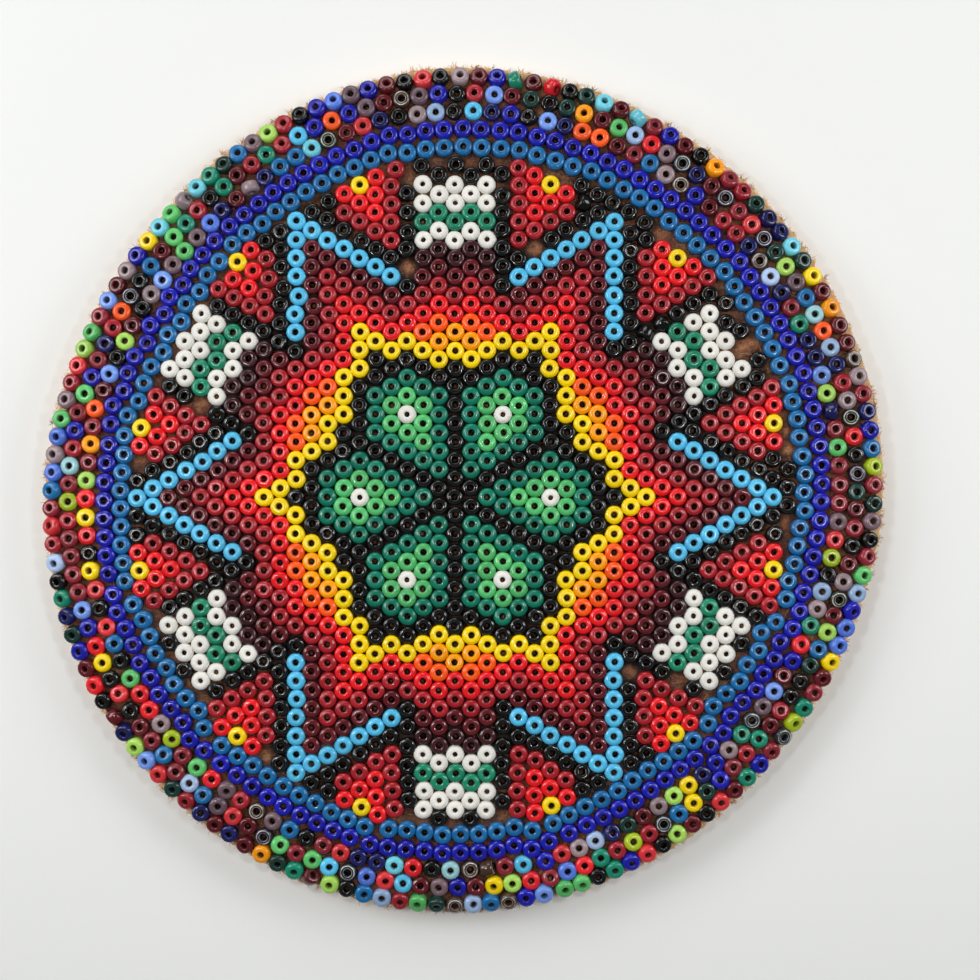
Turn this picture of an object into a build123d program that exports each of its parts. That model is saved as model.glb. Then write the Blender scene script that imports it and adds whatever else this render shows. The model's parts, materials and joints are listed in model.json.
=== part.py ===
from build123d import *

import math
import os
import random

# A flat round beadwork panel. A sawn disc of fibreboard carries a thin bed of beeswax, and
# glass seed beads are pressed into the wax one by one, hole upwards, until they cover it.
# The middle is a six-fold design laid on a triangular grid: a flower of six green petals
# inside a yellow star, reds that darken outwards to sky-blue chevrons, white squares with a
# green stripe and small red triangles. Two blue rings close it, and three rows of mixed
# beads run round the rim.
#
# Origin: middle of the back face's bounding box. +Z is out of the beaded face, +X and +Y lie
# along the panel, and one white square points along +Y. All sizes are in millimetres.

# ---- Driving sizes ------------------------------------------------------------------------

# Fibreboard disc, sawn by hand: a circle with a few slow waves on it.
board_diameter = 99.4
board_thickness = 3.0
board_edge_break = 0.25
# One wave per row: how many crests go round, height of the wave, angle of its first crest.
outline_waves = ((2, 0.60, 53.0), (3, 0.20, 99.0), (4, 0.30, 5.0))
outline_points = 48

# Beeswax bed.
wax_setback = 0.35
wax_thickness = 0.95
wax_under_bead = 0.25
pocket_clearance = 0.015
pocket_wall = 0.02

# Seed beads, by the glass they are cut from.
bead_diameter = 2.10
red_bead_diameter = 2.05
dark_bead_diameter = 2.00
black_bead_diameter = 1.94
bead_height = 1.40
bead_hole_diameter = 0.74
bead_rim_ease = 0.32

# How the beads are laid.
grid_gap = 0.08
ring_gap = 0.07
row_gap = 0.0
blue_rings_gap = 0.05
rim_row_inset = 0.95
rim_rows = 3
pattern_offset = (-0.90, -0.80)
hand_wander = 0.05
seed_number = 11

# ---- Colour chart of the middle -----------------------------------------------------------

# Row c holds the beads c grid steps from the centre bead, from a petal's axis sideways to the
# spoke between two petals. Each row is mirrored about the petal's axis and repeated six times.
# Beads past the end of a row are ground.
chart = (
    "K",
    "K",
    "GK",
    "GK",
    "gGK",
    "gGK",
    "EgGK",
    "gGKK",
    "GGKYY",
    "KKYAA",
    "KYYOOR",
    "YRRRRD",
    "YRDDDDM",
    "RDMKMMN",
    "RDMBKNNW",
    "DMBKKWWS",
    "DMBKdKSSW",
    "MBKddKWWW",
    "MBKdrdKWKK",
    "BKdrrdK",
    "BKKryrd",
)

# What each letter of the chart is: the node that holds it and the diameter of its beads.
# A node name that ends in an underscore is a motif of its own for each petal or spoke.
letters = {
    "G": ("petal_outline_", bead_diameter),
    "g": ("petal_heart_", bead_diameter),
    "E": ("petal_eyes", bead_diameter),
    "Y": ("star_outline", bead_diameter),
    "A": ("star_amber", bead_diameter),
    "O": ("star_orange", bead_diameter),
    "R": ("scarlet_band", red_bead_diameter),
    "D": ("crimson_band", red_bead_diameter),
    "M": ("maroon_band", dark_bead_diameter),
    "N": ("dark_maroon_band", dark_bead_diameter),
    "B": ("chevron_", bead_diameter),
    "W": ("square_white_", bead_diameter),
    "S": ("square_stripes", bead_diameter),
    "d": ("triangle_edges", red_bead_diameter),
    "r": ("triangle_hearts", red_bead_diameter),
    "y": ("triangle_dots", bead_diameter),
}
spoke_motifs = "W"
ground_letter = "K"
flower_reach = 10

# Colours of the mixed rim rows: node, diameter, and how many of each hundred beads it takes.
rim_mix = (
    ("rim_crimson", red_bead_diameter, 14),
    ("rim_maroon", dark_bead_diameter, 12),
    ("rim_black", black_bead_diameter, 9),
    ("rim_bottle_green", dark_bead_diameter, 6),
    ("rim_cobalt", bead_diameter, 9),
    ("rim_navy", dark_bead_diameter, 6),
    ("rim_mauve", bead_diameter, 7),
    ("rim_red", bead_diameter, 8),
    ("rim_cornflower", bead_diameter, 4),
    ("rim_pale_blue", bead_diameter, 4),
    ("rim_turquoise", bead_diameter, 4),
    ("rim_steel_blue", bead_diameter, 4),
    ("rim_teal", bead_diameter, 3),
    ("rim_grass_green", bead_diameter, 4),
    ("rim_lime", bead_diameter, 4),
    ("rim_yellow", bead_diameter, 3),
    ("rim_orange", bead_diameter, 3),
    ("rim_clear", dark_bead_diameter, 6),
)

# ---- Sizes that follow from the ones above ------------------------------------------------

largest_bead = max(bead_diameter, red_bead_diameter, dark_bead_diameter, black_bead_diameter)
grid_pitch = largest_bead + grid_gap
ring_pitch = largest_bead + ring_gap
row_pitch = largest_bead + row_gap
bead_floor = board_thickness + wax_under_bead
cobalt_inset = rim_row_inset + rim_rows * row_pitch
medium_blue_inset = cobalt_inset + row_pitch + blue_rings_gap
hole_radius = bead_hole_diameter / 2

# A motif bead may crowd the blue ring; a ground bead is left out unless it has room.
motif_room = 0.0
ground_room = 0.72 * grid_pitch
# Ground beads outside the flower are laid loosely, and a few of their places stay empty.
ground_wander = 0.12
ground_gaps = 0.05
chart_reach = math.ceil(board_diameter / 2 / (grid_pitch * math.cos(math.radians(30)))) + 1

# Beads that crowd each other are eased apart in rounds. Each of a pair moves by a little over
# half of what is missing, until no pair is short of its room by more than the tolerance.
settle_rounds = 400
settle_share = 0.52
settle_tolerance = 0.001

os.makedirs("parts", exist_ok=True)
hand = random.Random(seed_number)


# ---- Outline ------------------------------------------------------------------------------


def sawn_radius(angle):
    """Radius of the sawn edge, measured from the middle of the saw's circle, at an angle."""
    reach = board_diameter / 2
    for crests, height, first in outline_waves:
        reach += height * math.cos(math.radians(crests * (angle - first)))
    return reach


def box_middle(values):
    """Middle of the smallest and largest of some values."""
    return (min(values) + max(values)) / 2


degrees_round = range(360)
saw_x = -box_middle([sawn_radius(a) * math.cos(math.radians(a)) for a in degrees_round])
saw_y = -box_middle([sawn_radius(a) * math.sin(math.radians(a)) for a in degrees_round])


def edge_point(angle, inset):
    """Point that lies an inset inside the sawn edge, at an angle from the saw's middle."""
    reach = sawn_radius(angle) - inset
    return (saw_x + reach * math.cos(math.radians(angle)), saw_y + reach * math.sin(math.radians(angle)))


def edge_curve(inset):
    """Points of a closed curve that follows the sawn edge at an inset."""
    return [edge_point(360 * i / outline_points, inset) for i in range(outline_points)]


def depth_inside(x, y):
    """How far a point lies inside the sawn edge."""
    angle = math.degrees(math.atan2(y - saw_y, x - saw_x))
    return sawn_radius(angle) - math.hypot(x - saw_x, y - saw_y)


# ---- Where the beads go -------------------------------------------------------------------


class Seat:
    """Place of one bead: its middle, its diameter and the node that it belongs to."""

    def __init__(self, x, y, diameter, node):
        self.x = x
        self.y = y
        self.diameter = diameter
        self.node = node

    def nudge(self, spread):
        """Shift the place by a small random step, as a hand does."""
        self.x += hand.gauss(0, spread)
        self.y += hand.gauss(0, spread)


def ring_of_seats(inset, pick):
    """One closed row of beads at an inset from the edge. pick() gives a node and a diameter."""
    count = int(math.pi * (board_diameter - 2 * inset) / ring_pitch)
    start = hand.uniform(0, 360)
    row = []
    for i in range(count):
        node, diameter = pick()
        x, y = edge_point(start + 360 * i / count, inset)
        row.append(Seat(x, y, diameter, node))
        row[-1].nudge(hand_wander)
    return row


def pick_rim_bead():
    """Node and diameter of one bead drawn from the mixed colours of the rim."""
    node, diameter, share = hand.choices(rim_mix, [share for _, _, share in rim_mix])[0]
    return node, diameter


def chart_letter(steps, across):
    """Letter of the chart at a number of steps from the centre bead and a place in its row."""
    if steps < len(chart) and across < len(chart[steps]):
        return chart[steps][across]
    return ground_letter


def grid_seats():
    """Beads of the middle design, from the chart, as far out as the blue rings allow."""
    seats = []
    for steps in range(chart_reach):
        for turn in range(6 if steps else 1):
            for q in range(max(steps, 1)):
                p = steps - q
                low = math.radians(60 * turn - 30)
                high = math.radians(60 * turn + 30)
                x = pattern_offset[0] + grid_pitch * (p * math.cos(low) + q * math.cos(high))
                y = pattern_offset[1] + grid_pitch * (p * math.sin(low) + q * math.sin(high))
                letter = chart_letter(steps, abs(p - q) // 2)
                room = depth_inside(x, y) - medium_blue_inset
                if letter != ground_letter:
                    node, diameter = letters[letter]
                    if node.endswith("_"):
                        nearest = turn + 1 if letter in spoke_motifs and q > p else turn
                        node += str(nearest % 6 + 1)
                    if room > motif_room:
                        seats.append(Seat(x, y, diameter, node))
                        seats[-1].nudge(hand_wander)
                elif steps <= flower_reach:
                    seats.append(Seat(x, y, black_bead_diameter, "flower_ground"))
                    seats[-1].nudge(hand_wander)
                elif room > ground_room and hand.random() > ground_gaps:
                    seats.append(Seat(x, y, black_bead_diameter, "outer_ground"))
                    seats[-1].nudge(ground_wander)
    return seats


def settle(seats):
    """Ease beads apart until each has its own pocket with a wall of wax round it."""
    room = 2 * pocket_clearance + pocket_wall
    cell = largest_bead + room
    for _ in range(settle_rounds):
        grid = {}
        for seat in seats:
            grid.setdefault((int(seat.x // cell), int(seat.y // cell)), []).append(seat)
        worst = 0
        for (column, row), here in grid.items():
            near = [s for i in (0, 1) for j in (-1, 0, 1) for s in grid.get((column + i, row + j), [])
                    if i > 0 or j >= 0]
            for seat in here:
                for other in near:
                    if other is seat:
                        continue
                    wanted = (seat.diameter + other.diameter) / 2 + room
                    dx, dy = other.x - seat.x, other.y - seat.y
                    gap = math.hypot(dx, dy)
                    if gap < wanted:
                        push = settle_share * (wanted - gap) / gap
                        seat.x -= dx * push
                        seat.y -= dy * push
                        other.x += dx * push
                        other.y += dy * push
                        worst = max(worst, wanted - gap)
        if worst < settle_tolerance:
            break
        for seat in seats:
            over = rim_row_inset - depth_inside(seat.x, seat.y)
            if over > 0:
                reach = math.hypot(seat.x - saw_x, seat.y - saw_y)
                seat.x -= (seat.x - saw_x) / reach * over
                seat.y -= (seat.y - saw_y) / reach * over
    return worst


# ---- Sub-parts ----------------------------------------------------------------------------


def make_board():
    """Fibreboard disc with a hand-sawn edge, its two sharp rims broken with sandpaper."""
    with BuildPart() as board:
        with BuildSketch():
            with BuildLine():
                Spline(*edge_curve(0), periodic=True)
            make_face()
        extrude(amount=board_thickness)
        chamfer(board.edges().filter_by(Plane.XY), board_edge_break)
    board.part.label = "board"
    export_step(board.part, "parts/board.step")


def make_wax_bed(seats):
    """Bed of wax on the board, with a pocket pressed into it by each bead."""
    with BuildPart() as wax_bed:
        with BuildSketch(Plane.XY.offset(board_thickness)):
            with BuildLine():
                Spline(*edge_curve(wax_setback), periodic=True)
            make_face()
        extrude(amount=wax_under_bead)
        with BuildSketch(Plane.XY.offset(bead_floor)):
            with BuildLine():
                Spline(*edge_curve(wax_setback), periodic=True)
            make_face()
            for diameter in sorted({seat.diameter for seat in seats}):
                with Locations(*[(s.x, s.y) for s in seats if s.diameter == diameter]):
                    Circle(diameter / 2 + pocket_clearance, mode=Mode.SUBTRACT)
        extrude(amount=wax_thickness - wax_under_bead)
    wax_bed.part.label = "wax_bed"
    export_step(wax_bed.part, "parts/wax_bed.step")


def make_bead(diameter):
    """One seed bead standing on its end at the origin: a drilled barrel with its rims eased."""
    with BuildPart() as bead:
        with BuildSketch(Plane.XZ):
            with BuildLine():
                Polyline((hole_radius, 0), (diameter / 2 - bead_rim_ease, 0),
                         (diameter / 2, bead_rim_ease), (diameter / 2, bead_height - bead_rim_ease),
                         (diameter / 2 - bead_rim_ease, bead_height), (hole_radius, bead_height),
                         close=True)
            make_face()
        revolve(axis=Axis.Z)
    return bead.part


def lay_beads(node, seats):
    """All beads of one node, each a separate solid on the floor of its own pocket."""
    with BuildPart() as beads:
        for diameter in sorted({seat.diameter for seat in seats}):
            with Locations(*[(s.x, s.y, bead_floor) for s in seats if s.diameter == diameter]):
                add(make_bead(diameter))
    beads.part.label = node
    export_step(beads.part, f"parts/{node}.step")


# ---- The panel ----------------------------------------------------------------------------

all_seats = grid_seats()
all_seats += ring_of_seats(medium_blue_inset, lambda: ("medium_blue_ring", bead_diameter))
all_seats += ring_of_seats(cobalt_inset, lambda: ("cobalt_ring", bead_diameter))
for rim_row in range(rim_rows):
    all_seats += ring_of_seats(rim_row_inset + rim_row * row_pitch, pick_rim_bead)
tightest = settle(all_seats)

make_board()
make_wax_bed(all_seats)
for node_name in sorted({seat.node for seat in all_seats}):
    lay_beads(node_name, [seat for seat in all_seats if seat.node == node_name])

print(f"{len(all_seats)} beads, spacing short by at most {tightest:.4f} mm")
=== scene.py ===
"""Looks of the round beadwork panel: glass seed beads set in wax on a sawn fibreboard disc.

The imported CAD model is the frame. Each bead of a CAD node is stood for by a rounder one at
the same place, the wax by a bed with a pocket under every bead, and the plain disc by one
with a sawn, fraying edge. Everything is in metres, in the frame of the CAD model.
"""

import json
import logging
import math
import random
from collections.abc import Callable
from dataclasses import dataclass, field
from enum import Enum

import bmesh
import bpy
import numpy as np
from mathutils import Matrix, Vector, kdtree, noise


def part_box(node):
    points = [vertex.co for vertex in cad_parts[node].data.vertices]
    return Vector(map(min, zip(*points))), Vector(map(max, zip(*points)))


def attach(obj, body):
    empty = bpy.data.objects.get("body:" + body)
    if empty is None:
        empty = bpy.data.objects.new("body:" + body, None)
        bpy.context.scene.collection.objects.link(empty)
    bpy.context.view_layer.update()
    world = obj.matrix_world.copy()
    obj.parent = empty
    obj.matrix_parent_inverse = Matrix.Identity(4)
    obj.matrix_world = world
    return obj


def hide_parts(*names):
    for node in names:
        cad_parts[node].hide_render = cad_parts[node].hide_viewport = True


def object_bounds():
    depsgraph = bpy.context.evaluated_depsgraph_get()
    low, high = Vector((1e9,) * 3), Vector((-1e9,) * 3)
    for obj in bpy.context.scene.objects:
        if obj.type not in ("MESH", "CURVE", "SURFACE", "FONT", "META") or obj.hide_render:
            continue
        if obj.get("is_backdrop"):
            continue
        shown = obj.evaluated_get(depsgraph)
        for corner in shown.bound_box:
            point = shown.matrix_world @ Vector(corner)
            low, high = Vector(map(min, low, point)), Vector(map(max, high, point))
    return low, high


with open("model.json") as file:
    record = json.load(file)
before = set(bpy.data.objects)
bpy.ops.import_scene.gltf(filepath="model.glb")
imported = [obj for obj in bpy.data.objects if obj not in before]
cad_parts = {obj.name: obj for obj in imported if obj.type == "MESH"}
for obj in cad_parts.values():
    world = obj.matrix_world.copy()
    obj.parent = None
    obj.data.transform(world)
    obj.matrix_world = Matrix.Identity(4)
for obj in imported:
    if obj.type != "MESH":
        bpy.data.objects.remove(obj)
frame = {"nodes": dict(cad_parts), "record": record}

logging.basicConfig(level=logging.INFO, format="%(message)s")
log = logging.getLogger("beadwork")

MM = 0.001
FULL_TURN = 2 * math.pi
Colour = tuple[float, float, float]
Span = tuple[float, float]
Piece = bpy.types.Object


# ---- Small helpers ----


def rgb(red: int, green: int, blue: int) -> Colour:
    """Linear colour from the everyday red, green and blue of 0 to 255."""

    def linear(level: int) -> float:
        share = level / 255
        return share / 12.92 if share <= 0.04045 else ((share + 0.055) / 1.055) ** 2.4

    return (linear(red), linear(green), linear(blue))


def deselect_all() -> None:
    """Leave edit mode with nothing selected, so that an operator acts only on its own piece."""
    if bpy.context.object and bpy.context.object.mode != "OBJECT":
        bpy.ops.object.mode_set(mode="OBJECT")
    bpy.ops.object.select_all(action="DESELECT")


def name_new(name: str) -> Piece:
    """Name the object that an operator has just added, and its mesh, and return it."""
    made = bpy.context.object
    made.name = name
    made.data.name = name
    return made


def any_way(hand: random.Random) -> float:
    """An angle drawn from the whole circle."""
    return hand.uniform(0.0, FULL_TURN)


def way_of(angle: float, rise: float = 0.0) -> Vector:
    """The direction at an angle round the panel, with a rise."""
    return Vector((math.cos(angle), math.sin(angle), rise))


def held(value: float) -> float:
    """A value held between 0 and 1."""
    return min(1.0, max(0.0, value))


def points_of(mesh: bpy.types.Mesh) -> np.ndarray:
    """Vertices of a mesh as rows of x, y and z."""
    flat = np.empty(len(mesh.vertices) * 3, np.float32)
    mesh.vertices.foreach_get("co", flat)
    return flat.reshape(-1, 3).astype(float)


def set_points(mesh: bpy.types.Mesh, points: np.ndarray) -> None:
    """Put the vertices of a mesh at rows of x, y and z."""
    mesh.vertices.foreach_set("co", points.astype(np.float32).ravel())
    mesh.update()


def set_value(mesh: bpy.types.Mesh, name: str, values: np.ndarray) -> None:
    """Store one number per vertex as an attribute that a material reads."""
    layer = mesh.attributes.get(name) or mesh.attributes.new(name, "FLOAT", "POINT")
    layer.data.foreach_set("value", np.asarray(values, np.float32))


def join_all(copies: list[Piece], name: str) -> Piece:
    """Join copies into one piece and name it."""
    deselect_all()
    for copy in copies:
        copy.select_set(True)
    bpy.context.view_layer.objects.active = copies[0]
    if len(copies) > 1:
        bpy.ops.object.join()
    copies[0].name = name
    copies[0].data.name = name
    return copies[0]


def copy_of(first: Piece, move: Matrix) -> Piece:
    """A copy of a master in the scene, its mesh moved by a matrix."""
    made = first.copy()
    made.data = first.data.copy()
    made.data.transform(move)
    bpy.context.scene.collection.objects.link(made)
    return made


def select_where(piece: Piece, kind: str, wanted: Callable[..., bool]) -> None:
    """Select the points, edges or faces of a piece that a test picks out, in edit mode."""
    bpy.context.view_layer.objects.active = piece
    if piece.mode != "EDIT":
        bpy.ops.object.mode_set(mode="EDIT")
    bpy.ops.mesh.select_mode(type=kind)
    bpy.ops.mesh.select_all(action="DESELECT")
    shape = bmesh.from_edit_mesh(piece.data)
    for element in {"VERT": shape.verts, "EDGE": shape.edges, "FACE": shape.faces}[kind]:
        element.select_set(wanted(element))
    shape.select_flush_mode()
    bmesh.update_edit_mesh(piece.data)


def dress(piece: Piece, material: bpy.types.Material) -> None:
    """Give a piece its one material and log how many faces it has."""
    piece.data.materials.clear()
    piece.data.materials.append(material)
    log.info("%s: %d faces", piece.name, len(piece.data.polygons))


def stand_for(piece: Piece, node: str) -> None:
    """Let a piece ride on the body in place of a CAD node, and hide the node."""
    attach(piece, "root")
    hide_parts(node)


# ---- Shader nodes as expressions ----


class Sock:
    """A shader socket that takes part in Python expressions, which add the Math nodes."""

    def __init__(self, tree: "Tree", socket: bpy.types.NodeSocket) -> None:
        """Wrap one output socket of a tree."""
        self.tree = tree
        self.socket = socket

    def _math(self, operation: str, first: "Value", second: "Value") -> "Sock":
        """Add a Math node on two values."""
        return self.tree.node("ShaderNodeMath", {"operation": operation}, {0: first, 1: second})

    def __add__(self, other: "Value") -> "Sock":
        """Sum."""
        return self._math("ADD", self, other)

    __radd__ = __add__

    def __sub__(self, other: "Value") -> "Sock":
        """Difference."""
        return self._math("SUBTRACT", self, other)

    def __rsub__(self, other: "Value") -> "Sock":
        """Difference, the other way round."""
        return self._math("SUBTRACT", other, self)

    def __mul__(self, other: "Value") -> "Sock":
        """Product."""
        return self._math("MULTIPLY", self, other)

    __rmul__ = __mul__


Value = Sock | float | tuple


class Tree:
    """The node tree of one material."""

    def __init__(self, name: str) -> None:
        """Start a material with an empty tree and its output."""
        self.material = bpy.data.materials.new(name)
        self.material.use_nodes = True
        self.material.node_tree.nodes.clear()
        self.output = self.material.node_tree.nodes.new("ShaderNodeOutputMaterial")

    def node(self, kind: str, settings: dict | None = None, inputs: dict | None = None,
             output: str | int = 0) -> Sock:
        """Add any node.

        Args:
            kind: the node's type.
            settings: its properties, set first. "stops" are a ramp's positions and colours.
            inputs: values or links of its sockets, by name or number.
            output: the socket that is returned.

        Returns:
            The chosen output socket.
        """
        made = self.material.node_tree.nodes.new(kind)
        for key, value in (settings or {}).items():
            if key == "stops":
                self._set_stops(made.color_ramp, value)
            elif key == "interpolation":
                made.color_ramp.interpolation = value
            else:
                setattr(made, key, value)
        for key, value in (inputs or {}).items():
            if isinstance(value, Sock):
                self.material.node_tree.links.new(value.socket, made.inputs[key])
            else:
                made.inputs[key].default_value = value
        return Sock(self, made.outputs[output])

    @staticmethod
    def _set_stops(ramp: bpy.types.ColorRamp, stops: list[tuple[float, Colour]]) -> None:
        """Give a colour ramp its stops."""
        while len(ramp.elements) < len(stops):
            ramp.elements.new(1.0)
        for element, (place, colour) in zip(ramp.elements, stops):
            element.position = place
            element.color = (*colour, 1.0)

    def attribute(self, name: str) -> Sock:
        """A number that the piece's mesh carries."""
        return self.node("ShaderNodeAttribute", {"attribute_name": name}, output="Fac")

    def place(self) -> Sock:
        """Object coordinates, which are the frame's own metres."""
        return self.node("ShaderNodeTexCoord", output="Object")

    def noise(self, per_mm: float, detail: float = 3.0, roughness: float = 0.55,
              where: Sock | None = None) -> Sock:
        """Noise of 0 to 1 with a number of lumps to the millimetre."""
        return self.node("ShaderNodeTexNoise", {"noise_dimensions": "3D"},
                         {"Vector": where or self.place(), "Scale": per_mm / MM,
                          "Detail": detail, "Roughness": roughness})

    def mix(self, share: Value, low: Value, high: Value, blend: str = "MIX") -> Sock:
        """Mix two colours."""
        settings = {"data_type": "RGBA", "blend_type": blend, "clamp_factor": True}
        return self.node("ShaderNodeMix", settings, {0: share, 6: low, 7: high}, output=2)

    def stretched(self, scale: tuple[float, float, float], turn: float) -> Sock:
        """Object coordinates, scaled and turned about Z, for a grain that runs one way."""
        return self.node("ShaderNodeMapping", None, {"Vector": self.place(), "Scale": scale,
                                                     "Rotation": (0.0, 0.0, turn)})

    def ramp(self, value: Sock, low: float, high: float) -> Sock:
        """A value stretched so that low becomes 0 and high becomes 1, and held there."""
        settings = {"clamp": True, "interpolation_type": "SMOOTHSTEP"}
        return self.node("ShaderNodeMapRange", settings,
                         {"Value": value, "From Min": low, "From Max": high})

    def band(self, value: Sock, middle: float, half: float) -> Sock:
        """1 where a value is at the middle, falling to 0 at half a width to either side."""
        rise = self.ramp(value, middle - half, middle)
        fall = self.ramp(value, middle, middle + half)
        return rise * (1 - fall)

    def bump(self, height: Sock, depth_mm: float) -> Sock:
        """Bump from a height of 0 to 1 over a depth in millimetres."""
        return self.node("ShaderNodeBump", None,
                         {"Height": height, "Distance": depth_mm * MM, "Strength": 1.0})

    def surface(self, inputs: dict) -> bpy.types.Material:
        """Close the material with a Principled shader and these inputs."""
        shader = self.node("ShaderNodeBsdfPrincipled", None, inputs)
        self.material.node_tree.links.new(shader.socket, self.output.inputs["Surface"])
        return self.material


def full(colour: Colour) -> tuple[float, float, float, float]:
    """A colour with full alpha, as a socket takes it."""
    return (*colour, 1.0)


# ---- Finishes ----


class Body(Enum):
    """How a bead's glass takes the light."""

    OPAQUE = "opaque"
    SATIN = "satin"
    CLEAR = "clear"
    LINED = "lined"


@dataclass(frozen=True)
class Glass:
    """Finish of a glass bead.

    Attributes:
        body: how the glass takes the light.
        colours: the colours that its beads come in. Each bead takes one of them.
        glint: colour of the painted highlights, rings of light round the hole and on the outer
            wall, where the glass is clear.
        spread: how much one bead differs from the next in lightness.
        hole_shadow: colour of the painted shade deep in the hole of opaque glass.
        scuff: colour of the scuffs on satin glass.
        bending: refractive index of the glass.
    """

    body: Body
    colours: tuple[Colour, ...]
    glint: Colour = (0.5, 0.5, 0.5)
    spread: float = 0.16
    hole_shadow: Colour = (0.02, 0.012, 0.008)
    scuff: Colour = rgb(150, 142, 130)
    bending: float = 1.50

    def one_colour(self, tree: Tree) -> Sock | tuple:
        """Base colour of each bead, from the number that its mesh carries."""
        if len(self.colours) == 1:
            return full(self.colours[0])
        stops = [(i / len(self.colours), c) for i, c in enumerate(self.colours)]
        return tree.node("ShaderNodeValToRGB", {"stops": stops, "interpolation": "CONSTANT"},
                         {"Fac": tree.attribute("kind")})

    def make(self, name: str) -> bpy.types.Material:
        """Build the material, which reads each bead's kind, shade and distance from its hole."""
        tree = Tree(name)
        shade = tree.attribute("shade")
        out = tree.attribute("out")
        mottle = tree.noise(5.0, 2.0)
        colour = self.one_colour(tree)
        lightness = 1.0 + (shade - 0.5) * (2 * self.spread) + (mottle - 0.5) * 0.22
        grey = tree.node("ShaderNodeCombineColor", None, {0: lightness, 1: lightness, 2: lightness})
        colour = tree.mix(1.0, colour, grey, "MULTIPLY")
        pits = tree.noise(9.0, 3.0, 0.6)
        if self.body is Body.OPAQUE:
            # Painted shade: opaque glass darkens towards and into its hole.
            painted_hole_shade = tree.ramp(out, 0.46, 0.36)
            colour = tree.mix(painted_hole_shade * 0.55, colour, full(self.hole_shadow))
            polish = 0.13 + tree.noise(3.0) * 0.14
            return tree.surface({"Base Color": colour, "Roughness": polish, "IOR": self.bending,
                                 "Coat Weight": 0.22, "Coat Roughness": 0.05,
                                 "Normal": tree.bump(pits, 0.008)})
        if self.body is Body.SATIN:
            scuffs = tree.noise(14.0, 4.0, 0.7)
            colour = tree.mix(tree.ramp(scuffs, 0.60, 0.72) * 0.35, colour, full(self.scuff))
            return tree.surface({"Base Color": colour, "Roughness": 0.42 + scuffs * 0.2,
                                 "IOR": self.bending, "Normal": tree.bump(scuffs, 0.02)})
        lined = self.body is Body.LINED
        # Painted highlights: thin rings of reflected light round the hole and on the outer wall,
        # broken up by noise. On lined glass the ring round the hole is partly its silver lining.
        broken = tree.ramp(tree.noise(1.1, 1.0), 0.38, 0.62)
        hole_ring = tree.band(out, 0.50, 0.05) * (0.45 + 0.55 * broken)
        wall_ring = tree.band(out, 0.76, 0.09 if lined else 0.05) * (0.3 + 0.7 * broken)
        rings = hole_ring * (0.55 if lined else 0.30) + wall_ring * (1.0 if lined else 0.32)
        colour = tree.mix(rings, colour, full(self.glint))
        return tree.surface({"Base Color": colour, "Roughness": 0.08 + tree.noise(3.0) * 0.10,
                             "IOR": self.bending, "Coat Weight": 0.12, "Coat Roughness": 0.06,
                             "Normal": tree.bump(pits, 0.006)})


@dataclass(frozen=True)
class Beeswax:
    """Finish of the dark beeswax, smeared over the board and full of specks and fibres, with
    painted shade where the beads crowd it.
    """

    # The deep colour is painted shade, laid on the wax where the beads crowd it and in their holes.
    deep: Colour = rgb(27, 19, 16)
    dark: Colour = rgb(104, 62, 44)
    brown: Colour = rgb(158, 98, 64)
    tan: Colour = rgb(200, 148, 98)
    fibre: Colour = rgb(204, 160, 116)
    speck: Colour = rgb(40, 26, 20)
    hair: Colour = rgb(214, 176, 134)

    def make(self, name: str) -> bpy.types.Material:
        """Build the material, with smears of a few millimetres and fine fibres."""
        tree = Tree(name)
        smear = tree.ramp(tree.noise(0.6, 5.0, 0.7), 0.40, 0.60)
        colour = tree.mix(smear, full(self.dark), full(self.brown))
        patches = tree.ramp(tree.noise(0.9, 3.0), 0.52, 0.70)
        colour = tree.mix(patches * 0.6, colour, full(self.tan))
        for turn, stretch in ((0.6, 7.0), (-0.9, 9.0)):
            squeezed = tree.stretched((1.0, stretch, 1.0), turn)
            fibres = tree.ramp(tree.noise(1.4, 4.0, 0.7, squeezed), 0.58, 0.66)
            colour = tree.mix(fibres * 0.55, colour, full(self.fibre))
        specks = tree.ramp(tree.noise(5.0, 2.0), 0.58, 0.66)
        colour = tree.mix(specks * 0.75, colour, full(self.speck))
        # Painted shade: the wax darkens where the beads crowd it and down in their holes, less so
        # between the outer beads.
        crowded = tree.ramp(tree.attribute("open"), 0.75, 0.05)
        colour = tree.mix(crowded * 0.9, colour, full(self.deep))
        colour = tree.mix(tree.attribute("hair") * 0.85, colour, full(self.hair))
        relief = tree.noise(3.0, 6.0, 0.75)
        return tree.surface({"Base Color": colour, "Roughness": 0.30 + relief * 0.45,
                             "IOR": 1.44, "Normal": tree.bump(relief, 0.30)})


@dataclass(frozen=True)
class Fibreboard:
    """Finish of the tan fibreboard: pressed fibres on its faces and a rough sawn edge."""

    pale: Colour = rgb(240, 200, 148)
    deep: Colour = rgb(206, 158, 106)
    dark: Colour = rgb(128, 86, 52)
    charred: Colour = rgb(96, 72, 42)

    def make(self, name: str) -> bpy.types.Material:
        """Build the material, with pressed fibres a few tenths of a millimetre wide."""
        tree = Tree(name)
        lay = tree.stretched((1.0, 3.5, 2.0), 0.4)
        across = tree.stretched((3.5, 1.0, 2.0), -0.5)
        fibres = (tree.noise(1.0, 5.0, 0.65, lay) * 0.5
                  + tree.noise(1.0, 5.0, 0.65, across) * 0.5)
        colour = tree.mix(tree.ramp(fibres, 0.36, 0.62), full(self.deep), full(self.pale))
        flecks = tree.ramp(tree.noise(1.8, 3.0, 0.6, lay), 0.62, 0.72)
        colour = tree.mix(flecks * 0.7, colour, full(self.dark))
        blotches = tree.ramp(tree.noise(0.05, 3.0), 0.35, 0.7)
        colour = tree.mix(blotches * 0.25, colour, full(self.deep))
        charring = tree.ramp(tree.attribute("shade"), 0.72, 0.95)
        colour = tree.mix(charring * 0.6, colour, full(self.charred))
        return tree.surface({"Base Color": colour, "Roughness": 0.78 + fibres * 0.15,
                             "Normal": tree.bump(fibres, 0.14)})


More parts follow.
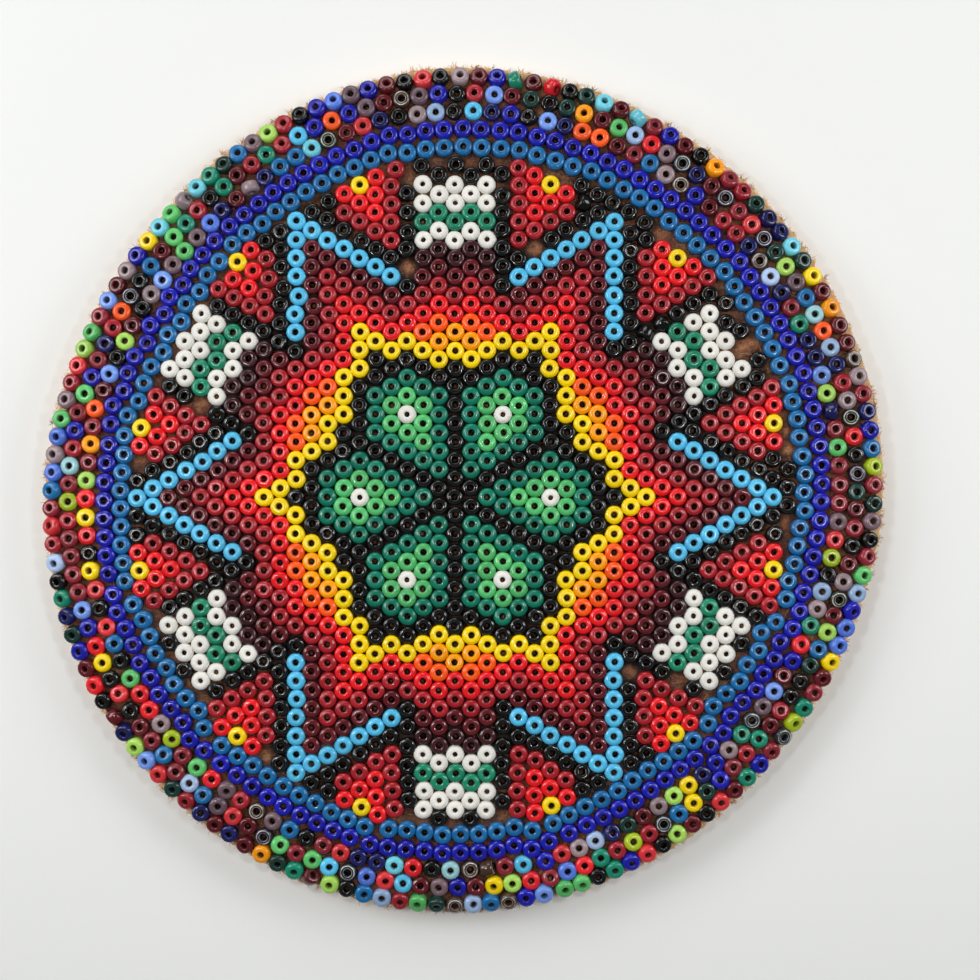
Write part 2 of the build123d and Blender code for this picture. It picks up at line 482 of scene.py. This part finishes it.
@dataclass(frozen=True)
class TableTop:
    """Finish of the pale table."""

    pale: Colour = rgb(243, 244, 242)
    cloudy: Colour = rgb(235, 237, 236)

    def make(self, name: str) -> bpy.types.Material:
        """Build the material, almost even and quite matt."""
        tree = Tree(name)
        cloud = tree.noise(0.02, 3.0)
        colour = tree.mix(cloud * 0.25, full(self.pale), full(self.cloudy))
        return tree.surface({"Base Color": colour, "Roughness": 0.6})


BEAD_FINISHES: dict[str, Glass] = {
    "glass_black": Glass(Body.CLEAR, (rgb(11, 12, 13),), rgb(92, 95, 96)),
    "glass_dark_green": Glass(Body.OPAQUE, (rgb(10, 116, 92),)),
    "glass_light_green": Glass(Body.OPAQUE, (rgb(82, 186, 108),)),
    "glass_stripe_green": Glass(Body.OPAQUE, (rgb(24, 130, 98),)),
    "glass_white": Glass(Body.SATIN, (rgb(234, 232, 224),), spread=0.05),
    "glass_yellow": Glass(Body.OPAQUE, (rgb(250, 214, 0),), spread=0.06),
    "glass_amber": Glass(Body.OPAQUE, (rgb(255, 160, 0),), spread=0.06),
    "glass_orange": Glass(Body.OPAQUE, (rgb(255, 88, 18),), spread=0.08),
    "glass_scarlet": Glass(Body.OPAQUE, (rgb(232, 26, 34),), spread=0.10),
    "glass_crimson": Glass(Body.OPAQUE, (rgb(166, 30, 40),), spread=0.14),
    "glass_maroon": Glass(Body.CLEAR, (rgb(92, 24, 32),), rgb(146, 62, 66)),
    "glass_dark_maroon": Glass(Body.CLEAR, (rgb(58, 26, 30),), rgb(112, 62, 66)),
    "glass_sky_blue": Glass(Body.OPAQUE, (rgb(84, 190, 232),), spread=0.08),
    "glass_medium_blue": Glass(Body.OPAQUE, (rgb(24, 106, 164),), spread=0.10),
    "glass_cobalt": Glass(Body.OPAQUE, (rgb(25, 28, 164),), spread=0.16),
    "glass_bottle_green": Glass(Body.CLEAR, (rgb(24, 54, 48),), rgb(78, 116, 104)),
    "glass_navy": Glass(Body.CLEAR, (rgb(24, 28, 84),), rgb(84, 92, 150)),
    "glass_mauve": Glass(Body.OPAQUE,
                         (rgb(122, 98, 106), rgb(148, 128, 132), rgb(104, 82, 92))),
    "glass_cornflower": Glass(Body.OPAQUE, (rgb(84, 122, 220), rgb(112, 150, 226))),
    "glass_pale_blue": Glass(Body.OPAQUE, (rgb(168, 192, 228), rgb(150, 178, 216))),
    "glass_turquoise": Glass(Body.OPAQUE,
                             (rgb(106, 198, 216), rgb(160, 214, 222), rgb(84, 190, 232))),
    "glass_teal": Glass(Body.OPAQUE, (rgb(22, 134, 106),)),
    "glass_grass_green": Glass(Body.OPAQUE, (rgb(92, 190, 104),)),
    "glass_lime": Glass(Body.OPAQUE, (rgb(166, 214, 92), rgb(164, 186, 30))),
    "glass_clear": Glass(Body.LINED,
                         (rgb(40, 46, 52), rgb(74, 52, 40), rgb(46, 50, 32), rgb(44, 34, 54)),
                         rgb(214, 218, 216)),
}

# The rim has a few finishes of its own, where one node mixes close colours.
RIM_FINISHES: dict[str, Glass] = {
    "rim_orange": Glass(Body.OPAQUE, (rgb(255, 158, 14), rgb(255, 92, 28))),
    "rim_red": Glass(Body.OPAQUE, (rgb(232, 34, 44), rgb(214, 52, 58))),
    "rim_crimson": Glass(Body.OPAQUE, (rgb(160, 34, 46), rgb(138, 38, 50))),
}


# ---- Where the CAD model puts things ----


# Points nearer than this are one point.
SAME_PLACE = 0.001 * MM


@dataclass
class Seat:
    """One bead of the CAD model: the middle of its foot, and its radius."""

    foot: Vector
    radius: float


def loose_parts(mesh: bpy.types.Mesh) -> list[np.ndarray]:
    """Split a CAD node into its separate solids.

    Args:
        mesh: the node's mesh, which is loose triangles.

    Returns:
        The points of each solid.
    """
    points = points_of(mesh)
    corners = np.empty(len(mesh.loops), np.int64)
    mesh.loops.foreach_get("vertex_index", corners)
    keys, merged = np.unique(np.round(points / SAME_PLACE).astype(np.int64), axis=0,
                             return_inverse=True)
    triangles = merged.ravel()[corners].reshape(-1, 3)
    label = np.arange(len(keys))
    while True:
        lowest = label[triangles].min(axis=1)
        spread = label.copy()
        np.minimum.at(spread, triangles.ravel(), np.repeat(lowest, 3))
        spread = spread[spread]
        if np.array_equal(spread, label):
            break
        label = spread
    owner = label[merged.ravel()]
    order = np.argsort(owner, kind="stable")
    breaks = np.flatnonzero(np.diff(owner[order])) + 1
    return [points[part] for part in np.split(order, breaks)]


def seats_of(node: str) -> list[Seat]:
    """The beads of one CAD node, in a fixed order round the panel."""
    seats = []
    for part in loose_parts(frame["nodes"][node].data):
        low, high = part.min(axis=0), part.max(axis=0)
        middle = (low + high) / 2
        radius = float(high[0] - low[0] + high[1] - low[1]) / 4
        seats.append(Seat(Vector((middle[0], middle[1], low[2])), radius))
    return sorted(seats, key=lambda s: (round(s.foot.y / MM, 2), round(s.foot.x / MM, 2)))


@dataclass
class Outline:
    """The board's sawn edge, as its reach in every direction.

    Attributes:
        steps: how many directions are kept.
        bins: how many directions the board's points are sorted into.
        reach: distance from the origin to the edge in each direction.
    """

    steps: int = 1440
    bins: int = 720
    reach: np.ndarray = field(init=False)

    def __post_init__(self) -> None:
        """Read the edge from the board's widest points."""
        points = points_of(frame["nodes"]["board"].data)
        angle = np.mod(np.arctan2(points[:, 1], points[:, 0]), FULL_TURN)
        far = np.hypot(points[:, 0], points[:, 1])
        rim = far > far.max() / 2
        where = np.round(angle[rim] / FULL_TURN * self.bins).astype(int) % self.bins
        widest = np.zeros(self.bins)
        np.maximum.at(widest, where, far[rim])
        known = np.flatnonzero(widest > 0)
        self.reach = np.interp(np.arange(self.steps) * self.bins / self.steps, known,
                               widest[known], period=self.bins)

    def at(self, angle: float | np.ndarray) -> float | np.ndarray:
        """Reach of the edge at an angle in radians."""
        place = np.mod(angle, FULL_TURN) / FULL_TURN * self.steps
        return np.interp(place, np.arange(self.steps), self.reach, period=self.steps)

    def inside(self, x: float, y: float) -> float:
        """How far a point lies inside the edge."""
        return float(self.at(math.atan2(y, x))) - math.hypot(x, y)


# ---- Glass beads ----


@dataclass
class BeadMaster:
    """The bead that others are copies of: a short tube of glass with soft rims.

    Attributes:
        sides: facets round the bead.
        radius: radius before it is scaled to its seat.
        height: height of the bead.
        hole: radius of the hole.
        rim: how far the outer rims are rounded.
        lip: how far the rims of the hole are broken.
        play: how far off an edge may be and still count as lying on a rim.
    """

    sides: int = 14
    radius: float = 1.05 * MM
    height: float = 1.40 * MM
    hole: float = 0.36 * MM
    rim: float = 0.34 * MM
    lip: float = 0.09 * MM
    play: float = 0.01 * MM

    def build(self) -> Piece:
        """Model the bead, its foot at the origin.

        Returns:
            The bead, with its distance from the hole's axis as the attribute "out".
        """
        deselect_all()
        bpy.ops.mesh.primitive_cylinder_add(vertices=self.sides, radius=self.radius,
                                            depth=self.height, location=(0, 0, self.height / 2))
        bead = name_new("bead_master")
        deselect_all()
        bead.select_set(True)
        bpy.ops.object.transform_apply(location=True, rotation=True, scale=True)
        select_where(bead, "FACE", lambda face: abs(face.normal.z) > 0.9)
        middle = (self.hole + self.lip + self.radius - self.rim) / 2
        bpy.ops.mesh.inset(thickness=self.radius - middle, depth=0.0)
        bpy.ops.mesh.inset(thickness=middle - self.hole, depth=0.0)
        bpy.ops.mesh.bridge_edge_loops()
        select_where(bead, "EDGE", lambda edge: self._on_rim(edge, self.radius))
        bpy.ops.mesh.bevel(offset=self.rim, segments=2, profile=0.5, affect="EDGES",
                           clamp_overlap=True)
        select_where(bead, "EDGE", lambda edge: self._on_rim(edge, self.hole))
        bpy.ops.mesh.bevel(offset=self.lip, segments=1, affect="EDGES", clamp_overlap=True)
        bpy.ops.mesh.select_all(action="SELECT")
        bpy.ops.mesh.normals_make_consistent(inside=False)
        bpy.ops.object.mode_set(mode="OBJECT")
        bpy.ops.object.shade_smooth()
        points = points_of(bead.data)
        set_value(bead.data, "out", np.hypot(points[:, 0], points[:, 1]) / self.radius)
        log.info("bead master: %d faces", len(bead.data.polygons))
        return bead

    def _on_rim(self, edge: bmesh.types.BMEdge, radius: float) -> bool:
        """Whether an edge lies on one of the flat rims at a radius."""
        ends = [vertex.co for vertex in edge.verts]
        level = abs(ends[0].z - ends[1].z) < self.play
        capped = min(ends[0].z, self.height - ends[0].z) < self.play
        near = all(abs(math.hypot(end.x, end.y) - radius) < 2 * self.play for end in ends)
        return level and capped and near


# Clear glass has wider holes and squarer rims than opaque glass.
MASTERS: dict[Body, BeadMaster] = {
    Body.OPAQUE: BeadMaster(),
    Body.SATIN: BeadMaster(hole=0.32 * MM, rim=0.42 * MM),
    Body.CLEAR: BeadMaster(hole=0.40 * MM, rim=0.26 * MM),
    Body.LINED: BeadMaster(hole=0.44 * MM, rim=0.26 * MM),
}


class Lay(Enum):
    """How beads stand in the wax, with the lean that few of them pass, in degrees."""

    PRESSED = 6.0
    LOOSE = 13.0


@dataclass
class Beadwork:
    """All glass beads, one piece for each CAD node.

    Attributes:
        outline: the board's edge.
        edge_zone: beads nearer to the edge than this lean outwards.
        edge_lean: how far they lean, in degrees.
        lean_spread: how much that differs from bead to bead, in degrees.
        edge_sink: how far they sink and draw inwards.
        sink_spread: how much higher or lower than its seat any bead may be.
        fallen_share: share of the loosely laid beads that lie on their sides.
        fallen_lean: how far those lean, in degrees.
        squash: heights of the beads, as shares of the master's.
        swell: widths of the beads, as shares of the seat's.
        oval: least ratio of a bead's two widths.
        seed: seed of all that differs from bead to bead.
    """

    outline: Outline
    edge_zone: float = 2.0 * MM
    edge_lean: float = 17.0
    lean_spread: float = 8.0
    edge_sink: float = 0.10 * MM
    sink_spread: float = 0.07 * MM
    fallen_share: float = 0.014
    fallen_lean: Span = (60.0, 85.0)
    squash: Span = (0.93, 1.04)
    swell: Span = (1.06, 1.085)
    oval: float = 0.97
    seed: int = 5

    def build(self) -> None:
        """Copy a master onto every seat and dress each node's beads."""
        masters = {body: master.build() for body, master in MASTERS.items()}
        hand = random.Random(self.seed)
        finishes: dict[str, bpy.types.Material] = {}
        for part in frame["record"]["subparts"]:
            node, slot = part["node"], part["material_slot"]
            if slot not in BEAD_FINISHES:
                continue
            key = node if node in RIM_FINISHES else slot
            finish = RIM_FINISHES.get(key) or BEAD_FINISHES[key]
            if key not in finishes:
                finishes[key] = finish.make(key)
            piece = self._lay(masters[finish.body], node, hand)
            dress(piece, finishes[key])
            stand_for(piece, node)
        for master in masters.values():
            bpy.data.objects.remove(master)

    def _lay(self, first: Piece, node: str, hand: random.Random) -> Piece:
        """Copy the master for every bead of a node and join the copies.

        Args:
            first: the master bead.
            node: the CAD node.
            hand: source of what differs from bead to bead.

        Returns:
            One piece that holds the node's beads.
        """
        copies = []
        for seat in seats_of(node):
            bead = copy_of(first, self._stance(seat, node, hand))
            count = len(bead.data.vertices)
            set_value(bead.data, "kind", np.full(count, hand.random()))
            set_value(bead.data, "shade", np.full(count, hand.random()))
            copies.append(bead)
        return join_all(copies, f"{node}_beads")

    def _stance(self, seat: Seat, node: str, hand: random.Random) -> Matrix:
        """Scale, lean and place of one bead.

        Args:
            seat: the bead's place in the CAD model.
            node: its node.
            hand: source of what differs from bead to bead.

        Returns:
            The matrix that moves a copy of the master onto its seat.
        """
        lay = Lay.LOOSE if node.startswith(("outer_ground", "rim_")) else Lay.PRESSED
        squash = hand.uniform(*self.squash)
        width = seat.radius / BeadMaster.radius * hand.uniform(*self.swell)
        size = Matrix.Diagonal((width, width * hand.uniform(self.oval, 1.0), squash, 1.0))
        lean = math.radians(hand.gauss(0.0, lay.value / 2))
        towards = any_way(hand)
        if lay is Lay.LOOSE and hand.random() < self.fallen_share:
            lean = math.radians(hand.uniform(*self.fallen_lean))
        tilt = self._turn(lean, towards)
        sink = Vector((0.0, 0.0, hand.uniform(-self.sink_spread, self.sink_spread)))
        inside = self.outline.inside(seat.foot.x, seat.foot.y)
        if inside < self.edge_zone:
            out = math.atan2(seat.foot.y, seat.foot.x)
            share = min(1.0, (self.edge_zone - inside) / (0.5 * self.edge_zone))
            lean = self.edge_lean * share + hand.gauss(0.0, self.lean_spread / 2)
            tilt = self._turn(math.radians(lean), out) @ tilt
            sink -= way_of(out, rise=1.0) * (self.edge_sink * share)
        middle = Vector((0.0, 0.0, BeadMaster.height / 2))
        spin = Matrix.Rotation(any_way(hand), 4, "Z")
        return (Matrix.Translation(seat.foot + sink + middle) @ tilt @ spin @ size
                @ Matrix.Translation(-middle))

    @staticmethod
    def _turn(lean: float, towards: float) -> Matrix:
        """Rotation that leans an upright thing by an angle towards a direction."""
        axis = Vector((-math.sin(towards), math.cos(towards), 0.0))
        return Matrix.Rotation(lean, 4, axis)


# ---- Fibres ----


@dataclass
class Sliver:
    """The fibre that others are copies of: a thin tapered sliver, bent to one side.

    Attributes:
        radius: radius at its root.
        bend: how far its tip is bent, as a share of its length.
        length: length before it is scaled to its place.
        taper: radius at its tip, as a share of that at its root.
        joints: where along its length it is bent.
    """

    radius: float
    bend: float
    length: float = 1.0 * MM
    taper: float = 0.3
    joints: tuple[float, ...] = (0.35, 0.7)

    def build(self) -> Piece:
        """Model the fibre, its root at the origin, standing up."""
        deselect_all()
        bpy.ops.mesh.primitive_cone_add(vertices=4, radius1=self.radius,
                                        radius2=self.taper * self.radius, depth=self.length,
                                        location=(0, 0, self.length / 2))
        fibre = name_new("fibre_master")
        bpy.ops.object.transform_apply(location=True, rotation=True, scale=True)
        bpy.ops.object.mode_set(mode="EDIT")
        for share in self.joints:
            bpy.ops.mesh.select_all(action="SELECT")
            bpy.ops.mesh.bisect(plane_co=(0, 0, share * self.length), plane_no=(0, 0, 1))
        bpy.ops.object.mode_set(mode="OBJECT")
        bent = points_of(fibre.data)
        bent[:, 0] += self.bend * bent[:, 2] ** 2 / self.length
        set_points(fibre.data, bent)
        return fibre


# ---- Wax ----


@dataclass
class WaxBed:
    """Beeswax smeared over the board, pressed up between the beads.

    Attributes:
        outline: the board's edge.
        step: distance between the points of its surface.
        setback: how far it stays inside the edge.
        ragged: how much that differs round the edge.
        tuck: how far the wax reaches under a bead.
        under: how far below a bead's foot the surface runs.
        plug: height of the wax in a bead's hole.
        plug_spread: how much that differs from hole to hole.
        plug_open: how pale the wax in the holes stays under its painted shade, from 0 to 1.
        core: beyond this distance from the middle the wax gets paler.
        core_fade: over how far it gets paler.
        outer_open: how much of the painted shade the wax loses between the outer beads, from 0 to
            1.
        rough: how rough the open wax is.
        crowded: where the two nearest beads are nearer than this in sum, the wax takes the deep
            colour of painted shade.
        open_fade: over how much more than that it turns open, losing the painted shade.
        hollow: how much lower the wax lies between crowded beads.
        skin: the least thickness of the wax.
        hairs: how many fine fibres lie on it.
        hair_length: least, most and usual length of a fibre, in millimetres.
        hair_lie: its least and most lean, in degrees.
        hair_lift: its least and most height over the wax, in millimetres.
        seed: seed of their places.
    """

    outline: Outline
    step: float = 0.33 * MM
    setback: float = 0.85 * MM
    ragged: float = 0.45 * MM
    tuck: float = 0.22 * MM
    under: float = 0.06 * MM
    plug: float = 0.80 * MM
    plug_spread: float = 0.50 * MM
    plug_open: float = 0.35
    core: float = 29.0 * MM
    core_fade: float = 5.0 * MM
    outer_open: float = 0.42
    rough: float = 0.16 * MM
    crowded: float = 2.7 * MM
    open_fade: float = 1.0 * MM
    hollow: float = 0.22 * MM
    skin: float = 0.08 * MM
    hairs: int = 420
    hair_length: tuple[float, float, float] = (0.7, 3.2, 1.2)
    hair_lie: Span = (84.0, 93.0)
    hair_lift: Span = (0.02, 0.12)
    seed: int = 3

    def build(self) -> None:
        """Model the wax as one closed piece and dress it."""
        low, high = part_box("wax_bed")
        reach = max(high.x, high.y, -low.x, -low.y) + self.step
        cells = math.ceil(2 * reach / self.step)
        deselect_all()
        bpy.ops.mesh.primitive_grid_add(x_subdivisions=cells, y_subdivisions=cells,
                                        size=2 * reach)
        wax = name_new("wax_relief")
        self._trim(wax)
        self._press(wax, low.z, high.z)
        self._close(wax, low.z)
        material = Beeswax().make("beeswax")
        dress(wax, material)
        stand_for(wax, "wax_bed")
        hairs = self._hairs(max(high.x, high.y), high.z)
        dress(hairs, material)
        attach(hairs, "root")

    def _hairs(self, reach: float, level: float) -> Piece:
        """Fine fibres caught in the wax, lying about on it.

        Args:
            reach: how far from the middle they may lie.
            level: height of the wax between the beads.

        Returns:
            All of them as one piece.
        """
        first = Sliver(radius=0.024 * MM, bend=0.12).build()
        hand = random.Random(self.seed)
        copies = []
        for _ in range(self.hairs):
            angle = any_way(hand)
            place = way_of(angle) * (reach * math.sqrt(hand.uniform(0.1, 0.92)))
            place.z = level + hand.uniform(*self.hair_lift) * MM
            flat = Matrix.Rotation(math.radians(hand.uniform(*self.hair_lie)), 4, "Y")
            way = Matrix.Rotation(any_way(hand), 4, "Z")
            roll = Matrix.Rotation(any_way(hand), 4, "Z")
            size = Matrix.Diagonal((1.0, 1.0, hand.triangular(*self.hair_length), 1.0))
            hair = copy_of(first, Matrix.Translation(place) @ way @ flat @ roll @ size)
            set_value(hair.data, "hair", np.ones(len(hair.data.vertices)))
            copies.append(hair)
        bpy.data.objects.remove(first)
        return join_all(copies, "wax_hairs")

    def _trim(self, wax: Piece) -> None:
        """Cut the grid to the outline and draw its rim onto it."""

        def outside(vertex: bmesh.types.BMVert) -> bool:
            far = math.hypot(vertex.co.x, vertex.co.y)
            return far > self._rim(math.atan2(vertex.co.y, vertex.co.x)) - 0.3 * self.step

        select_where(wax, "VERT", outside)
        bpy.ops.mesh.delete(type="VERT")
        shape = bmesh.from_edit_mesh(wax.data)
        for vertex in [v for v in shape.verts if v.is_boundary]:
            angle = math.atan2(vertex.co.y, vertex.co.x)
            vertex.co = way_of(angle) * self._rim(angle)
        bmesh.update_edit_mesh(wax.data)
        bpy.ops.object.mode_set(mode="OBJECT")

    def _rim(self, angle: float) -> float:
        """How far the wax reaches at an angle, a little raggedly."""
        wave = noise.fractal(way_of(angle) * 16, 1.0, 2.0, 3)
        return float(self.outline.at(angle)) - self.setback + self.ragged * wave

    def _press(self, wax: Piece, low: float, high: float) -> None:
        """Raise the surface between the beads and sink it under them.

        Args:
            wax: the trimmed grid.
            low: height of the board's face.
            high: height of the wax between the beads.
        """
        seats = [seat for part in frame["record"]["subparts"]
                 if part["material_slot"] in BEAD_FINISHES for seat in seats_of(part["node"])]
        near = kdtree.KDTree(len(seats))
        for i, seat in enumerate(seats):
            near.insert((seat.foot.x, seat.foot.y, 0.0), i)
        near.balance()
        floor = seats[0].foot.z - self.under
        points = points_of(wax.data)
        openness = np.zeros(len(points))
        for row, point in enumerate(points):
            found = near.find_n((point[0], point[1], 0.0), 2)
            (_, i, distance), (_, _, second) = found
            lump = noise.fractal(Vector(point) * (0.9 / MM), 1.0, 2.0, 4)
            slow = noise.noise(Vector(point) * (0.16 / MM))
            if distance < BeadMaster.hole:
                point[2] = floor + self.plug + self.plug_spread * lump
                # The wax in a hole keeps part of the painted shade.
                openness[row] = self.plug_open
            elif distance < seats[i].radius - self.tuck:
                point[2] = floor
            else:
                # Open wax loses the painted shade. Crowded wax keeps it, but less of it between the
                # outer beads.
                open_place = held((distance + second - self.crowded) / self.open_fade)
                outer = held((math.hypot(point[0], point[1]) - self.core) / self.core_fade)
                openness[row] = max(open_place, self.outer_open * outer)
                point[2] = high + self.rough * (lump + slow / 2) - self.hollow * (1 - open_place)
            point[2] = max(point[2], low + self.skin)
        set_points(wax.data, points)
        set_value(wax.data, "open", openness)

    def _close(self, wax: Piece, low: float) -> None:
        """Give the surface its side and its foot on the board."""
        bpy.ops.object.mode_set(mode="EDIT")
        bpy.ops.mesh.select_mode(type="EDGE")
        bpy.ops.mesh.select_all(action="DESELECT")
        shape = bmesh.from_edit_mesh(wax.data)
        for edge in shape.edges:
            edge.select_set(edge.is_boundary)
        bmesh.update_edit_mesh(wax.data)
        bpy.ops.mesh.extrude_region_move()
        shape = bmesh.from_edit_mesh(wax.data)
        for vertex in shape.verts:
            if vertex.select:
                vertex.co.z = low
        bmesh.update_edit_mesh(wax.data)
        bpy.ops.mesh.edge_face_add()
        bpy.ops.mesh.select_all(action="SELECT")
        bpy.ops.mesh.normals_make_consistent(inside=False)
        bpy.ops.object.mode_set(mode="OBJECT")
        bpy.ops.object.shade_smooth_by_angle(angle=math.radians(60))


# ---- Board ----


@dataclass
class SawnBoard:
    """Fibreboard disc with a rough sawn side, and the fibres that stand out of its edge.

    Attributes:
        outline: the board's edge.
        points: points round the edge.
        fray: how rough the side is.
        fringe: how far the torn edge reaches past the sawn line at most.
        torn_side: direction in which it tends to reach furthest, in degrees.
        break_edge: how far the rims are broken.
        side_rows: heights of the side's rows of points, as shares of the thickness.
        tufts: how many tufts of fibres stand out.
        root: how far inside the edge they start.
        tuft_width: how far apart the fibres of a tuft start.
        tuft_length: least, most and usual length of a tuft, in millimetres.
        tuft_lean: least and most lean of a fibre, in degrees.
        seed: seed of all that differs from tuft to tuft.
    """

    outline: Outline
    points: int = 1400
    fray: float = 0.15 * MM
    fringe: float = 0.46 * MM
    torn_side: float = 40.0
    break_edge: float = 0.22 * MM
    side_rows: tuple[float, ...] = (0.10, 0.30, 0.50, 0.70, 0.88)
    tufts: int = 560
    root: float = 0.12 * MM
    tuft_width: float = 0.22 * MM
    tuft_length: tuple[float, float, float] = (0.25, 1.0, 0.35)
    tuft_lean: Span = (50.0, 100.0)
    seed: int = 8

    def edge(self, angle: float) -> float:
        """How far the torn edge reaches: past the sawn line in some stretches."""
        wander = noise.noise(way_of(angle, rise=0.3) * 2.2)
        torn = 0.35 * math.cos(angle - math.radians(self.torn_side))
        return float(self.outline.at(angle)) + self.fringe * held(0.5 + wander + torn)

    def build(self) -> None:
        """Model and dress the disc and its fibres."""
        material = Fibreboard().make("fibreboard")
        board = self._disc()
        dress(board, material)
        stand_for(board, "board")
        fuzz = self._fibres()
        dress(fuzz, material)
        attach(fuzz, "root")

    def _disc(self) -> Piece:
        """The disc: a flat circle drawn onto the outline, raised in rows, its rims broken."""
        low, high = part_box("board")
        deselect_all()
        bpy.ops.mesh.primitive_circle_add(vertices=self.points, radius=1.0, fill_type="NGON")
        board = name_new("sawn_board")
        bpy.ops.object.mode_set(mode="EDIT")
        bpy.ops.mesh.select_mode(type="FACE")
        bpy.ops.mesh.select_all(action="SELECT")
        depth = high.z - low.z
        side = [(share * depth, 0.0) for share in self.side_rows]
        rows = [(0.0, self.break_edge), *side, (depth, self.break_edge)]
        self._draw_ring(board, rows[0])
        for row in rows[1:]:
            bpy.ops.mesh.extrude_region_move()
            self._draw_ring(board, row)
        bpy.ops.mesh.select_all(action="SELECT")
        bpy.ops.mesh.normals_make_consistent(inside=False)
        bpy.ops.object.mode_set(mode="OBJECT")
        bpy.ops.object.shade_smooth_by_angle(angle=math.radians(50))
        return board

    def _draw_ring(self, board: Piece, row: tuple[float, float]) -> None:
        """Put the selected ring at a height and an inset, roughened as a saw leaves it."""
        height, inset = row
        shape = bmesh.from_edit_mesh(board.data)
        for vertex in [v for v in shape.verts if v.select]:
            angle = math.atan2(vertex.co.y, vertex.co.x)
            way = way_of(angle)
            reach = self.edge(angle)
            spot = way * (reach * 1.3 / MM) + Vector((0, 0, height * 0.8 / MM))
            grain = noise.fractal(spot, 1.0, 2.0, 3)
            bite = self.fray * (grain - 0.6)
            vertex.co = way * (reach - inset + bite)
            vertex.co.z = height
        bmesh.update_edit_mesh(board.data)

    def _fibres(self) -> Piece:
        """Torn fibres round the edge: one bent sliver, copied all round."""
        first = Sliver(radius=0.046 * MM, bend=0.25).build()
        hand = random.Random(self.seed)
        copies = [fibre for _ in range(self.tufts) for fibre in self._tuft(first, hand)]
        bpy.data.objects.remove(first)
        return join_all(copies, "edge_fibres")

    def _tuft(self, first: Piece, hand: random.Random) -> list[Piece]:
        """A few fibres that stand out of the edge together.

        Args:
            first: the sliver that is copied.
            hand: source of what differs from tuft to tuft.

        Returns:
            The tuft's fibres.
        """
        angle = any_way(hand)
        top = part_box("board")[1].z
        height = top * (1.0 - abs(hand.gauss(0.0, 0.18)))
        reach = self.edge(angle) - self.root
        shade = hand.random()
        longest = hand.triangular(*self.tuft_length)
        fibres = []
        for _ in range(hand.randint(2, 7)):
            here = angle + hand.gauss(0.0, self.tuft_width) / reach
            towards = angle + hand.gauss(0.0, 0.75)
            lean = math.radians(hand.uniform(*self.tuft_lean))
            place = way_of(here) * reach
            place.z = max(height + hand.gauss(0.0, 0.1 * MM), 0.3 * MM)
            thick = hand.uniform(0.7, 1.5)
            size = Matrix.Diagonal((thick, thick, longest * hand.uniform(0.5, 1.0), 1.0))
            spin = Matrix.Rotation(any_way(hand), 4, "Z")
            axis = Vector((-math.sin(towards), math.cos(towards), 0.0))
            stand = Matrix.Translation(place) @ Matrix.Rotation(lean, 4, axis)
            fibre = copy_of(first, stand @ spin @ size)
            set_value(fibre.data, "shade", np.full(len(fibre.data.vertices), shade))
            fibres.append(fibre)
        return fibres


# ---- Studio ----


@dataclass(frozen=True)
class Lamp:
    """A soft light that faces the panel.

    Attributes:
        name: its name.
        place: where it hangs.
        side: side of its square, or how wide a sun is, in degrees.
        power: its power in watts, or a sun's strength.
        kind: "AREA" or "SUN".
    """

    name: str
    place: tuple[float, float, float]
    side: float
    power: float
    kind: str = "AREA"

    def hang(self) -> None:
        """Add the light."""
        deselect_all()
        bpy.ops.object.light_add(type=self.kind, location=self.place)
        lamp = bpy.context.object
        lamp.name = self.name
        lamp.data.energy = self.power
        if self.kind == "SUN":
            lamp.data.angle = math.radians(self.side)
        else:
            lamp.data.shape = "SQUARE"
            lamp.data.size = self.side
        lamp.rotation_euler = (-Vector(self.place)).to_track_quat("-Z", "Y").to_euler()


@dataclass
class Studio:
    """Pale table, soft light and the camera straight above.

    Attributes:
        distance: height of the camera over the panel.
        width: width of what the camera sees at the beads' height.
        aim: point that the camera looks at, beside the middle of the panel.
        table: side of the table.
        lamps: two small lamps beside the camera, three windows and even daylight.
        air: colour of the light from all round.
        air_strength: strength of that light.
    """

    distance: float = 200 * MM
    width: float = 115.7 * MM
    aim: tuple[float, float] = (3.25 * MM, 0.05 * MM)
    table: float = 16.0
    lamps: tuple[Lamp, ...] = (
        Lamp("left_lamp", (-0.085, 0.000, 0.22), 0.022, 0.088),
        Lamp("right_lamp", (0.085, 0.004, 0.22), 0.022, 0.088),
        Lamp("right_window", (0.26, 0.07, 0.17), 0.14, 0.36),
        Lamp("left_window", (-0.24, 0.07, 0.17), 0.14, 0.35),
        Lamp("far_window", (-0.02, 0.27, 0.17), 0.14, 0.21),
        Lamp("daylight", (-0.4, 0.4, 0.6), 30.0, 0.35, "SUN"),
    )
    air: Colour = (0.97, 0.985, 1.0)
    air_strength: float = 0.10

    def build(self) -> None:
        """Make the table, the lights and the camera."""
        self._table()
        for lamp in self.lamps:
            lamp.hang()
        world = bpy.data.worlds.new("studio_air")
        world.use_nodes = True
        sky = world.node_tree.nodes["Background"]
        sky.inputs["Color"].default_value = full(self.air)
        sky.inputs["Strength"].default_value = self.air_strength
        bpy.context.scene.world = world
        bpy.context.scene.view_settings.view_transform = "Standard"
        self._camera()

    def _table(self) -> None:
        """A large flat top."""
        deselect_all()
        bpy.ops.mesh.primitive_grid_add(x_subdivisions=4, y_subdivisions=4, size=self.table)
        table = name_new("table_top")
        table.data.materials.append(TableTop().make("table_top"))
        table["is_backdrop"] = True

    def _camera(self) -> None:
        """Look straight down on the panel."""
        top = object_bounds()[1][2]
        deselect_all()
        bpy.ops.object.camera_add(location=(*self.aim, top + self.distance), rotation=(0, 0, 0))
        camera = bpy.context.object
        camera.name = "camera_above"
        camera.data.sensor_width = 36.0
        camera.data.lens = camera.data.sensor_width * self.distance / self.width
        camera.data.clip_start = 5 * MM
        bpy.context.scene.camera = camera


def main() -> None:
    """Build the panel and the studio."""
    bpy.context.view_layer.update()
    outline = Outline()
    SawnBoard(outline).build()
    WaxBed(outline).build()
    Beadwork(outline).build()
    Studio().build()


if __name__ == "__main__":
    main()
